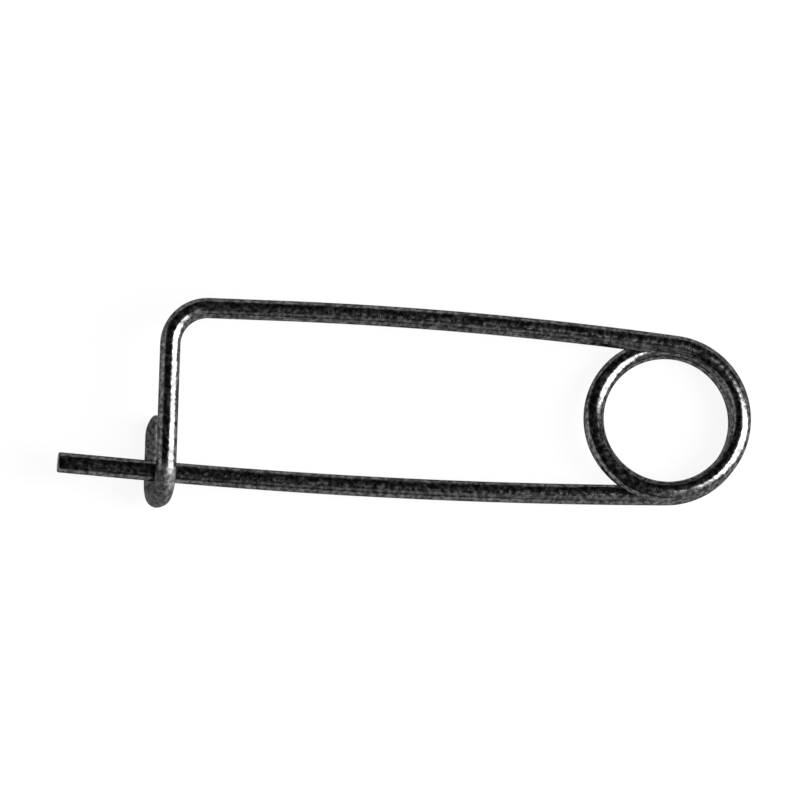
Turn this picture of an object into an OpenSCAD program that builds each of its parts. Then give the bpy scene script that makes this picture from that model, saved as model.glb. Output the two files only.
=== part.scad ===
// Coil spring safety pin, bent from one length of round spring wire.
// The leg runs from its cut tip to a coil of one and a half turns. The arm comes back from the coil,
// turns down at a corner and hooks round the leg, which is sprung against the hook.
// Sizes are in millimetres. The pin lies flat on the floor, Z up, with the tip of its leg towards -X.

/* [Wire] */
// Diameter of the round wire
wire_d = 3.2; // [2.4:0.1:4]
// Bevel round the cut tip of the leg
tip_bevel = 0.3; // [0.1:0.1:0.8]

/* [Coil] */
// Inside diameter of the coil's eye
eye_d = 19.8; // [15:0.2:26]
// Gap between one turn of the coil and the next
turn_gap = 0.2; // [0.1:0.05:0.6]

/* [Leg] */
// Distance from the coil's axis to the hook
hook_reach = 78.8; // [60:0.1:110]
// Length of leg from the hook to the tip
tip_reach = 16.7; // [12:0.1:30]
// Radius of the leg's slight outward bow
leg_bow_r = 930; // [650:10:1400]

/* [Arm] */
// Angle between the arm and the leg where they leave the coil
arm_angle = 7.6; // [5:0.1:11]
// Radius of the arm's slight outward bow
arm_bow_r = 630; // [500:10:1200]
// Centre-line radius of the corner where the arm turns down to the leg
corner_r = 5.9; // [5:0.1:8]
// Angle through which the corner turns
corner_angle = 89.7; // [88:0.1:94]

/* [Hook] */
// Gap between the outer side of the leg and the bend that goes round it
hook_gap = 0.9; // [0.5:0.1:1.6]
// Gap between the leg and the limb of the hook that comes up behind it
hook_play = 1.9; // [0.8:0.1:2.6]
// Centre-line radius of the bend at the back of the hook
heel_r = 2.8; // [2.4:0.1:3.2]
// Angle by which the hook turns back towards the tip of the leg
hook_lean = 7; // [0:0.5:15]
// Straight length of the limb behind the leg, without its nose
hook_end = 7.1; // [5:0.1:9]
// Radius of the long arc on which the nose of the limb narrows
nose_r = 5; // [3:0.1:9]
// Radius of the nose's round tip
nose_tip_r = 0.8; // [0.5:0.05:1.1]

/* [Hidden] */
$fn = 48;
steel = [0.13, 0.13, 0.14];
// How much wider than the wire the balls are that join its lengths
joint_lap = 0.02;

// Each half turn of the coil lies in a plane tilted by coil_tilt, so that a whole turn climbs one pitch
coil_r = (eye_d + wire_d) / 2;
pitch = wire_d + turn_gap;
coil_tilt = asin(pitch / (4 * coil_r));

// The arm's bow takes four fifths of the way from the coil to the hook
arm_bow_angle = 0.8 * hook_reach / arm_bow_r * 180 / PI;

// Ways the wire points, seen square to the arm, as it leaves the coil, the bow and the corner
coil_heading = 180 - arm_angle;
arm_heading = coil_heading + arm_bow_angle;
drop_heading = arm_heading + corner_angle;

// The leg bows up from the coil's lowest point, and this is how far it has turned and risen at the hook
leg_turn = asin(hook_reach / leg_bow_r);
leg_rise = leg_bow_r * (1 - cos(leg_turn));

// Straight lengths of the arm and of its drop that bring the hook to the leg, with the coil's axis at [0, 0]
function turn_move(r, from, to) = r * [sin(to) - sin(from), cos(from) - cos(to)];
hook_at = [-hook_reach, leg_rise / cos(coil_tilt) - coil_r];
coil_end = coil_r * [sin(coil_heading), -cos(coil_heading)];
arm_gap = hook_at - coil_end
    - turn_move(arm_bow_r, coil_heading, arm_heading)
    - turn_move(corner_r, arm_heading, drop_heading);
arm_straight = (arm_gap.x * sin(drop_heading) - arm_gap.y * cos(drop_heading)) / sin(corner_angle);
drop_straight = (arm_gap.y * cos(arm_heading) - arm_gap.x * sin(arm_heading)) / sin(corner_angle);

// The hook is deep enough for the limb before the leg, the leg itself and the play behind it.
// It goes round the leg, runs back on a short flat and turns up at its heel.
limb_height = pitch * cos(coil_tilt) + leg_rise * sin(coil_tilt);
hook_depth = limb_height + wire_d + hook_play;
hook_r = wire_d + hook_gap;
hook_flat = hook_depth / cos(hook_lean) - hook_r - heel_r;
hook_shift = hook_depth * tan(hook_lean);

// The nose's arc meets its round tip smoothly at nose_cut, and the tip's middle is at nose_mid
nose_mid = sqrt(pow(nose_r - nose_tip_r, 2) - pow(nose_r - wire_d / 2, 2));
nose_cut = nose_mid * nose_r / (nose_r - nose_tip_r);

// The leg's bow ends just past the hook. Its free end, which a hole slides along, is straight.
free_end = tip_reach - hook_shift - wire_d / 2 - 0.6;
leg_bow_angle = leg_turn + (tip_reach - free_end) / leg_bow_r * 180 / PI;
leg_run = leg_bow_r * sin(leg_bow_angle) + free_end * cos(leg_bow_angle);
leg_climb = leg_bow_r * (1 - cos(leg_bow_angle)) + free_end * sin(leg_bow_angle);

// On the floor the pin rests on the coil's first half turn and on the limb behind the leg
lie_angle = atan((hook_depth - pitch * cos(coil_tilt)) / (coil_r + hook_reach + hook_shift));
lie_height = wire_d / 2 + coil_r * sin(lie_angle);

// Middle of the pin seen from above, with the coil's axis at [0, 0]
arm_top = coil_end.y + turn_move(arm_bow_r, coil_heading, arm_heading).y
    + arm_straight * sin(arm_heading) + turn_move(corner_r, arm_heading, 180).y;
pin_low = min(-coil_r, hook_at.y - hook_r);
pin_mid = [(coil_r + wire_d / 2 - leg_run) / 2, (arm_top + pin_low) / 2 + pitch * sin(coil_tilt)];

// Ball over the joint between one length of wire and the next
module joint_ball() {
    rotate([0, 90, 0]) sphere(d = wire_d + joint_lap);
}

// Straight wire along +X, then whatever follows it
module straight(length) {
    union() {
        rotate([0, 90, 0]) cylinder(d = wire_d, h = length);
        translate([length, 0, 0]) joint_ball();
    }
    translate([length, 0, 0]) children();
}

// Wire that bends to its left through an angle, then whatever follows it
module bend(r, angle) {
    far = [r * sin(angle), r * (1 - cos(angle)), 0];
    union() {
        translate([0, r, 0]) rotate([0, 0, -90])
            rotate_extrude(angle = angle, $fn = ceil(6 * r))
                translate([r, 0]) circle(d = wire_d, $fn = 48);
        translate(far) rotate([0, 0, angle]) joint_ball();
    }
    translate(far) rotate([0, 0, angle]) children();
}

// Turn of the wire about its own length, which sets the way the next bend goes
module roll(angle) {
    rotate([angle, 0, 0]) children();
}

// Cut tip with its bevel
module cut_tip() {
    rotate([0, 90, 0]) cylinder(d1 = wire_d - 2 * tip_bevel, d2 = wire_d, h = tip_bevel);
    translate([tip_bevel, 0, 0]) children();
}

// Nose that narrows on a long arc to a small round tip
module nose() {
    rotate([0, 90, 0]) {
        rotate_extrude() intersection() {
            translate([wire_d / 2 - nose_r, 0]) circle(nose_r, $fn = 96);
            square([wire_d / 2, nose_cut]);
        }
        translate([0, 0, nose_mid]) sphere(nose_tip_r + joint_lap / 2);
    }
}

// Leg from its tip to the coil
module leg() {
    cut_tip() straight(free_end - tip_bevel) bend(leg_bow_r, leg_bow_angle) children();
}

// One and a half turns, less the angle at which the arm leaves
module coil() {
    roll(coil_tilt) bend(coil_r, 180)
        roll(2 * coil_tilt) bend(coil_r, 180)
            roll(2 * coil_tilt) bend(coil_r, coil_heading) children();
}

// Arm from the coil to its corner and down to the leg
module arm() {
    bend(arm_bow_r, arm_bow_angle) straight(arm_straight)
        bend(corner_r, corner_angle) straight(drop_straight) children();
}

// Hook round the leg and up behind it
module hook() {
    roll(-90 - hook_lean) bend(hook_r, 90) straight(hook_flat) bend(heel_r, 90)
        straight(hook_end) nose();
}

// The whole wire, laid on the floor
module safety_pin() {
    color(steel)
        translate([-pin_mid.x, -pin_mid.y, lie_height]) rotate([0, lie_angle, 0])
            translate([0, -coil_r, 0]) rotate([-coil_tilt, 0, 0])
                translate([-leg_run, leg_climb, 0]) rotate([0, 0, -leg_bow_angle])
                    leg() coil() arm() hook();
}

safety_pin();
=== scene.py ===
import math

import bmesh
import bpy
from mathutils import Matrix, Vector


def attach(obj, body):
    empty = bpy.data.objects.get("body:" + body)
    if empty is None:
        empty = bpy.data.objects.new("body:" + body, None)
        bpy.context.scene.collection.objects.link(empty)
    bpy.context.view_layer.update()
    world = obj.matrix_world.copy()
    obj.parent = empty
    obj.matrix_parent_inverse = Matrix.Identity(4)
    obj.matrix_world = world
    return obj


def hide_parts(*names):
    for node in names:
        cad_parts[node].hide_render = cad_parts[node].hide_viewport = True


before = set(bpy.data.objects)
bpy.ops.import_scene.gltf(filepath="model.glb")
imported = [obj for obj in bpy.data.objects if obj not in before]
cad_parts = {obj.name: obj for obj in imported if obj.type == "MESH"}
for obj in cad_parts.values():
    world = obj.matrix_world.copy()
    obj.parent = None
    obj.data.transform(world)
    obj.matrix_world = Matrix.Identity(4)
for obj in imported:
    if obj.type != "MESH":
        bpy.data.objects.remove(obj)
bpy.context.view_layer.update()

# Sizes of the pin in metres and degrees, the same as in the part's source
WIRE_D = 0.0032
TIP_BEVEL = 0.0003
COIL_R = 0.0115
TURN_GAP = 0.0002
HOOK_REACH = 0.0788
TIP_REACH = 0.0167
LEG_BOW_R = 0.930
ARM_ANGLE = 7.6
ARM_BOW_R = 0.630
CORNER_R = 0.0059
CORNER_ANGLE = 89.7
HOOK_GAP = 0.0009
HOOK_PLAY = 0.0019
HEEL_R = 0.0028
HOOK_LEAN = 7.0
HOOK_END = 0.0071
NOSE_R = 0.005
NOSE_TIP_R = 0.0008

# Share of the way from the coil to the hook that the arm's bow takes
ARM_BOW_SHARE = 0.8
# Distance past the hook at which the leg's bow ends
BOW_PAST_HOOK = 0.0006

# Vertices round the wire, the longest step along a tight bend and the least angle of a sharp edge
RING = 48
BEND_STEP = 3
SHARP_ANGLE = 50

# Colours of the wire's darkest and palest scale, and the tint of what it mirrors where it turns away
DARK_SCALE = (0.032, 0.032, 0.033, 1)
PALE_SCALE = (0.18, 0.18, 0.184, 1)
EDGE_TINT = (0.4, 0.4, 0.4, 1)
# The hook's dull finish, and the painted shade that darkens its scale, begin this far before its first bend
# and are full this far into it
DULL_AND_SHADE_BEFORE = 0.0010
DULL_AND_SHADE_AFTER = 0.0008

# Half the floor's width, its paint, and the share of it that is seen and mirrored as plain white
FLOOR_HALF = 6.0
FLOOR_PAINT = (0.7, 0.7, 0.7, 1)
WHITE_SHARE = 0.92

# Studio lights: place, width and height in metres, and power in watts
LIGHTS = {
    "key_panel": ((0.561, -0.079, 0.420), (0.4, 0.88), 13.1),
    "key_surround": ((0.58, -0.085, 0.45), (0.66, 1.0), 7.3),
    "front_fill": ((0.15, -0.27, 0.24), (0.34, 0.34), 0.19),
    "left_fill": ((-0.65, -0.15, 0.22), (1.0, 0.45), 1.2),
}

# How the camera leans and rolls, its distance, and the middle of its picture along its own axes
LEAN_TO_HOOK = 2.62
LEAN_TO_LEG = 5.49
CAMERA_ROLL = -0.28
CAMERA_AWAY = 2.5
PICTURE_MIDDLE = (-0.00029, 0.00112, 0.005)
# Width of the camera's sensor and length of its lens in millimetres, and how far it sees in metres
SENSOR = 36
LENS = 719.8
FAR_CLIP = 20


def sin(degrees):
    return math.sin(math.radians(degrees))


def cos(degrees):
    return math.cos(math.radians(degrees))


def turned(degrees, axis):
    return Matrix.Rotation(math.radians(degrees), 4, axis)


def turn_move(r, start, end):
    """How far a bend carries the wire, from one heading to another, seen square to the bend."""
    return Vector((r * (sin(end) - sin(start)), r * (cos(start) - cos(end))))


class BentWire:
    """A tube that grows ring by ring from its cut tip, as wire goes through a bender.

    Each ring also keeps where it would lie on the straight wire, so that a finish can follow the wire.
    """

    def __init__(self, place):
        self.bm = bmesh.new()
        self.on_straight = self.bm.verts.layers.float_vector.new("on_straight_wire")
        self.place = place
        self.run = 0.0
        self.twist = 0.0
        made = bmesh.ops.create_circle(
            self.bm, cap_ends=True, segments=RING, radius=WIRE_D / 2 - TIP_BEVEL,
            matrix=place @ turned(90, "Y"))
        self.verts = made["verts"]
        self.ring = list(self.bm.edges)
        self.mark()

    def mark(self):
        """Writes each new vertex's place on the straight wire."""
        back = turned(self.twist, "X") @ self.place.inverted()
        for v in self.verts:
            v[self.on_straight] = back @ v.co + Vector((self.run, 0, 0))

    def grow(self, change, length):
        """Extrudes the last ring and moves it by a matrix in the wire's own frame."""
        made = bmesh.ops.extrude_edge_only(self.bm, edges=self.ring)["geom"]
        self.verts = [g for g in made if isinstance(g, bmesh.types.BMVert)]
        new = set(self.verts)
        self.ring = [g for g in made if isinstance(g, bmesh.types.BMEdge) and set(g.verts) <= new]
        move = self.place @ change @ self.place.inverted()
        bmesh.ops.transform(self.bm, matrix=move, space=Matrix.Identity(4), verts=self.verts)
        self.run += length

    def advance(self, step, length):
        """Grows one ring, goes on to it and marks it."""
        self.grow(step, length)
        self.place = self.place @ step
        self.mark()

    def straight(self, length, steps=2):
        for _ in range(steps):
            self.advance(Matrix.Translation((length / steps, 0, 0)), length / steps)

    def bend(self, r, angle, steps=None):
        steps = steps or max(2, math.ceil(angle / BEND_STEP))
        centre = Matrix.Translation((0, r, 0))
        step = centre @ turned(angle / steps, "Z") @ centre.inverted()
        for _ in range(steps):
            self.advance(step, r * math.radians(angle) / steps)

    def roll(self, angle):
        self.place = self.place @ turned(angle, "X")
        self.twist += angle

    def follow(self, outline, old_r):
        """Rings of a rounded end, each a distance along from the end's start and at a radius of its own."""
        old_x = 0.0
        for x, r in outline:
            along = Matrix.Translation((x - old_x, 0, 0))
            self.grow(along @ Matrix.Diagonal((1, r / old_r, r / old_r, 1)), x - old_x)
            self.place = self.place @ along
            self.mark()
            old_x, old_r = x, r

    def cut_tip(self, steps=4):
        """The rounded edge of the cut tip."""
        face_r = WIRE_D / 2 - TIP_BEVEL
        outline = []
        for i in range(1, steps + 1):
            t = 90 * i / steps
            outline.append((TIP_BEVEL * (1 - cos(t)), face_r + TIP_BEVEL * sin(t)))
        self.follow(outline, face_r)

    def nose(self, steps=8):
        """A nose that narrows on a long arc to a small round tip, closed at its pole."""
        middle = math.sqrt((NOSE_R - NOSE_TIP_R) ** 2 - (NOSE_R - WIRE_D / 2) ** 2)
        meet = math.degrees(math.asin(middle / (NOSE_R - NOSE_TIP_R)))
        outline = []
        for i in range(1, steps + 1):
            t = meet * i / steps
            outline.append((NOSE_R * sin(t), WIRE_D / 2 - NOSE_R * (1 - cos(t))))
        for i in range(1, steps):
            t = meet + (90 - meet) * i / steps
            outline.append((middle + NOSE_TIP_R * sin(t), NOSE_TIP_R * cos(t)))
        self.follow(outline, WIRE_D / 2)
        bmesh.ops.edgeloop_fill(self.bm, edges=self.ring)

    def finish(self, name):
        bmesh.ops.recalc_face_normals(self.bm, faces=self.bm.faces)
        mesh = bpy.data.meshes.new(name)
        self.bm.to_mesh(mesh)
        self.bm.free()
        mesh.shade_smooth()
        mesh.set_sharp_from_angle(angle=math.radians(SHARP_ANGLE))
        piece = bpy.data.objects.new(name, mesh)
        bpy.context.scene.collection.objects.link(piece)
        return piece


def bend_safety_pin():
    """The whole pin in one wire, from the leg's tip to the nose of the hook, laid on the floor.

    It also gives how far along the wire the hook begins.
    """
    pitch = WIRE_D + TURN_GAP
    coil_tilt = math.degrees(math.asin(pitch / (4 * COIL_R)))
    arm_bow = math.degrees(ARM_BOW_SHARE * HOOK_REACH / ARM_BOW_R)
    coil_heading = 180 - ARM_ANGLE
    arm_heading = coil_heading + arm_bow
    drop_heading = arm_heading + CORNER_ANGLE

    # How far the leg has turned and risen at the hook
    leg_turn = math.degrees(math.asin(HOOK_REACH / LEG_BOW_R))
    leg_rise = LEG_BOW_R * (1 - cos(leg_turn))

    # Straight lengths that bring the hook to the leg
    hook_at = Vector((-HOOK_REACH, leg_rise / cos(coil_tilt) - COIL_R))
    coil_end = COIL_R * Vector((sin(coil_heading), -cos(coil_heading)))
    gap = hook_at - coil_end - turn_move(ARM_BOW_R, coil_heading, arm_heading)
    gap -= turn_move(CORNER_R, arm_heading, drop_heading)
    arm_straight = (gap.x * sin(drop_heading) - gap.y * cos(drop_heading)) / sin(CORNER_ANGLE)
    drop_straight = (gap.y * cos(arm_heading) - gap.x * sin(arm_heading)) / sin(CORNER_ANGLE)

    # Depth of the hook, which takes the limb before the leg, the leg and the play behind it
    limb_height = pitch * cos(coil_tilt) + leg_rise * sin(coil_tilt)
    hook_depth = limb_height + WIRE_D + HOOK_PLAY
    hook_r = WIRE_D + HOOK_GAP
    hook_flat = hook_depth / cos(HOOK_LEAN) - hook_r - HEEL_R
    hook_shift = hook_depth * sin(HOOK_LEAN) / cos(HOOK_LEAN)

    # The leg's bow and its straight free end
    free_end = TIP_REACH - hook_shift - WIRE_D / 2 - BOW_PAST_HOOK
    leg_bow = leg_turn + math.degrees((TIP_REACH - free_end) / LEG_BOW_R)
    leg_run = LEG_BOW_R * sin(leg_bow) + free_end * cos(leg_bow)
    leg_climb = LEG_BOW_R * (1 - cos(leg_bow)) + free_end * sin(leg_bow)

    # How the pin lies on the floor, and its middle seen from above
    lie_rise = hook_depth - pitch * cos(coil_tilt)
    lie = math.degrees(math.atan(lie_rise / (COIL_R + HOOK_REACH + hook_shift)))
    lie_height = WIRE_D / 2 + COIL_R * sin(lie)
    arm_top = coil_end.y + turn_move(ARM_BOW_R, coil_heading, arm_heading).y
    arm_top += arm_straight * sin(arm_heading) + turn_move(CORNER_R, arm_heading, 180).y
    pin_low = min(-COIL_R, hook_at.y - hook_r)
    mid_x = (COIL_R + WIRE_D / 2 - leg_run) / 2
    mid_y = (arm_top + pin_low) / 2 + pitch * sin(coil_tilt)

    place = Matrix.Translation((-mid_x, -mid_y, lie_height)) @ turned(lie, "Y")
    place = place @ Matrix.Translation((0, -COIL_R, 0)) @ turned(-coil_tilt, "X")
    place = place @ Matrix.Translation((-leg_run, leg_climb, 0)) @ turned(-leg_bow, "Z")

    wire = BentWire(place)
    wire.cut_tip()
    wire.straight(free_end - TIP_BEVEL, steps=3)
    wire.bend(LEG_BOW_R, leg_bow, steps=28)
    wire.roll(coil_tilt)
    wire.bend(COIL_R, 180)
    wire.roll(2 * coil_tilt)
    wire.bend(COIL_R, 180)
    wire.roll(2 * coil_tilt)
    wire.bend(COIL_R, coil_heading)
    wire.bend(ARM_BOW_R, arm_bow, steps=24)
    wire.straight(arm_straight, steps=3)
    wire.bend(CORNER_R, CORNER_ANGLE)
    wire.straight(drop_straight, steps=4)
    hook_start = wire.run
    wire.roll(-90 - HOOK_LEAN)
    wire.bend(hook_r, 90)
    wire.straight(hook_flat)
    wire.bend(HEEL_R, 90)
    wire.straight(HOOK_END)
    wire.nose()
    return wire.finish("bent_wire"), hook_start


class Socket:
    """An output of a node. Arithmetic on it adds Math nodes to the same tree."""

    def __init__(self, tree, out=None):
        self.tree = tree
        self.out = out

    def node(self, kind, settings=None, sockets=None, out=0):
        """A new node with its settings made first, then its sockets' values or links."""
        made = self.tree.nodes.new(kind)
        for name, value in (settings or {}).items():
            setattr(made, name, value)
        for name, value in (sockets or {}).items():
            if isinstance(value, Socket):
                self.tree.links.new(value.out, made.inputs[name])
            else:
                made.inputs[name].default_value = value
        return Socket(self.tree, made.outputs[out] if len(made.outputs) else None)

    def noise(self, scale, detail, roughness):
        """Noise laid out by these coordinates."""
        return self.node("ShaderNodeTexNoise", None, {
            "Vector": self, "Scale": scale, "Detail": detail, "Roughness": roughness})

    def ramp(self, first, last):
        """This value on a ramp of greys between two stops, each a position and a shade."""
        made = self.node("ShaderNodeValToRGB", None, {"Fac": self})
        for stop, (position, shade) in zip(made.out.node.color_ramp.elements, (first, last)):
            stop.position = position
            stop.color = (shade, shade, shade, 1)
        return made

    def axis(self, name):
        """One coordinate of this vector."""
        return self.node("ShaderNodeSeparateXYZ", None, {"Vector": self}, out=name)

    def maths(self, operation, first, second):
        return self.node("ShaderNodeMath", {"operation": operation}, {0: first, 1: second})

    def larger(self, other):
        return self.maths("MAXIMUM", self, other)

    def __add__(self, other):
        return self.maths("ADD", self, other)

    def __radd__(self, other):
        return self.maths("ADD", other, self)

    def __sub__(self, other):
        return self.maths("SUBTRACT", self, other)

    def __rsub__(self, other):
        return self.maths("SUBTRACT", other, self)

    def __mul__(self, other):
        return self.maths("MULTIPLY", self, other)


def new_material(name):
    material = bpy.data.materials.new(name)
    material.use_nodes = True
    material.node_tree.nodes.clear()
    return material, Socket(material.node_tree)


def dark_spring_steel(hook_start):
    """Dark spring wire: a satin metal with a mottled scale and fine marks from the drawing die.

    From the hook's bend to its nose the wire is dull, and its scale is painted a tenth darker as painted
    shade.
    """
    material, start = new_material("dark_spring_steel")
    where = start.node("ShaderNodeTexCoord", out="Object")
    along = start.node("ShaderNodeAttribute", {"attribute_name": "on_straight_wire"}, out="Vector")

    # Scale on the wire in patches about a millimetre across, with finer specks in it
    patch = where.noise(900, 3, 0.6).ramp((0.38, 0.0), (0.66, 1.0))
    specks = where.noise(1500, 1, 0.5)
    speck = specks.ramp((0.42, 0.0), (0.64, 1.0))

    # Spots of dull oxide that scatter light
    spot = where.noise(1300, 1, 0.5).ramp((0.46, 0.0), (0.68, 1.0))

    # Die marks run along the wire, so their pattern is drawn out in that direction
    drawn = start.node("ShaderNodeMapping", None, {"Vector": along, "Scale": (0.02, 1.0, 1.0)})
    marks = drawn.noise(9000, 2, 0.6)

    # Share of the dull finish and of the painted shade: none up to the hook, and all of it from the hook's
    # first bend to its nose
    dull_finish_and_painted_shade = start.node("ShaderNodeMapRange", {"interpolation_type": "SMOOTHSTEP"}, {
        "Value": along.axis("X"), "From Min": hook_start - DULL_AND_SHADE_BEFORE, "From Max": hook_start + DULL_AND_SHADE_AFTER})

    # Random mottle of the scale, and on the hook a tenth darker: painted shade that dims the bright floor
    # mirrored in its bend
    mottled_tone_and_painted_shade = (patch * 0.3 + speck * 0.7) * (1 - dull_finish_and_painted_shade * 0.1)
    colour = start.node("ShaderNodeMix", {"data_type": "RGBA"}, {
        "Factor": mottled_tone_and_painted_shade, "A": DARK_SCALE, "B": PALE_SCALE}, out="Result")
    roughness = 0.14 + patch * 0.03 + speck * 0.05 + marks * 0.02 + dull_finish_and_painted_shade * 0.4
    metal = 1 - spot * 0.08 - dull_finish_and_painted_shade * 0.14
    height = specks * 0.98 + marks * 0.02
    normal = start.node("ShaderNodeBump", None, {"Strength": 0.16, "Distance": 0.00008, "Height": height})
    shader = start.node("ShaderNodeBsdfPrincipled", None, {
        "Base Color": colour, "Metallic": metal, "Roughness": roughness, "Normal": normal,
        "Specular Tint": EDGE_TINT})
    start.node("ShaderNodeOutputMaterial", None, {"Surface": shader})
    return material


def pale_floor_paint():
    """Pale flat paint that keeps the pin's shadow, near white for the camera and in reflections."""
    material, start = new_material("pale_floor_paint")
    camera_ray = start.node("ShaderNodeLightPath", out="Is Camera Ray")
    glossy_ray = start.node("ShaderNodeLightPath", out="Is Glossy Ray")
    clear_ray = start.node("ShaderNodeLightPath", out="Is Transmission Ray")
    seen = camera_ray.larger(glossy_ray).larger(clear_ray)
    paint = start.node("ShaderNodeBsdfDiffuse", None, {"Color": FLOOR_PAINT})
    white = start.node("ShaderNodeEmission", None, {"Color": (1, 1, 1, 1), "Strength": 1.0})
    both = start.node("ShaderNodeMixShader", None, {0: seen * WHITE_SHARE, 1: paint, 2: white})
    start.node("ShaderNodeOutputMaterial", None, {"Surface": both})
    return material


def floor():
    bm = bmesh.new()
    bmesh.ops.create_grid(bm, x_segments=1, y_segments=1, size=FLOOR_HALF)
    mesh = bpy.data.meshes.new("floor")
    bm.to_mesh(mesh)
    bm.free()
    mesh.materials.append(pale_floor_paint())
    piece = bpy.data.objects.new("floor", mesh)
    bpy.context.scene.collection.objects.link(piece)
    return piece


def soft_box(name, place, size, power):
    """An oval studio light that faces the pin."""
    light = bpy.data.lights.new(name, "AREA")
    light.shape = "ELLIPSE"
    light.size, light.size_y = size
    light.energy = power
    lamp = bpy.data.objects.new(name, light)
    lamp.location = place
    lamp.rotation_euler = (-Vector(place)).to_track_quat("-Z", "Y").to_euler()
    lamp.visible_camera = False
    bpy.context.scene.collection.objects.link(lamp)


def studio_room():
    """Pale walls low down, and a dark ceiling that the top of the wire mirrors."""
    world = bpy.data.worlds.new("studio_room")
    bpy.context.scene.world = world
    world.use_nodes = True
    world.node_tree.nodes.clear()
    start = Socket(world.node_tree)
    height = start.node("ShaderNodeTexCoord", out="Generated").axis("Z")
    wall = height.ramp((0.05, 1.0), (0.3, 0.03))
    sky = start.node("ShaderNodeBackground", None, {"Color": wall, "Strength": 1.0})
    start.node("ShaderNodeOutputWorld", None, {"Surface": sky})


def photo_camera():
    """A long lens almost straight above the pin, a little towards the hook and the leg."""
    turn = turned(-LEAN_TO_HOOK, "Y") @ turned(LEAN_TO_LEG, "X") @ turned(CAMERA_ROLL, "Z")
    aim = turn @ Vector(PICTURE_MIDDLE)
    data = bpy.data.cameras.new("photo_camera")
    data.sensor_width = SENSOR
    data.lens = LENS
    data.clip_end = FAR_CLIP
    camera = bpy.data.objects.new("photo_camera", data)
    camera.matrix_world = Matrix.Translation(aim + turn @ Vector((0, 0, CAMERA_AWAY))) @ turn
    bpy.context.scene.collection.objects.link(camera)
    bpy.context.scene.camera = camera


pin, hook_start = bend_safety_pin()
pin.data.materials.append(dark_spring_steel(hook_start))
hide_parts("safety_pin")
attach(pin, "root")
floor()
studio_room()
for name, (place, size, power) in LIGHTS.items():
    soft_box(name, place, size, power)
photo_camera()
bpy.context.scene.view_settings.view_transform = "Standard"
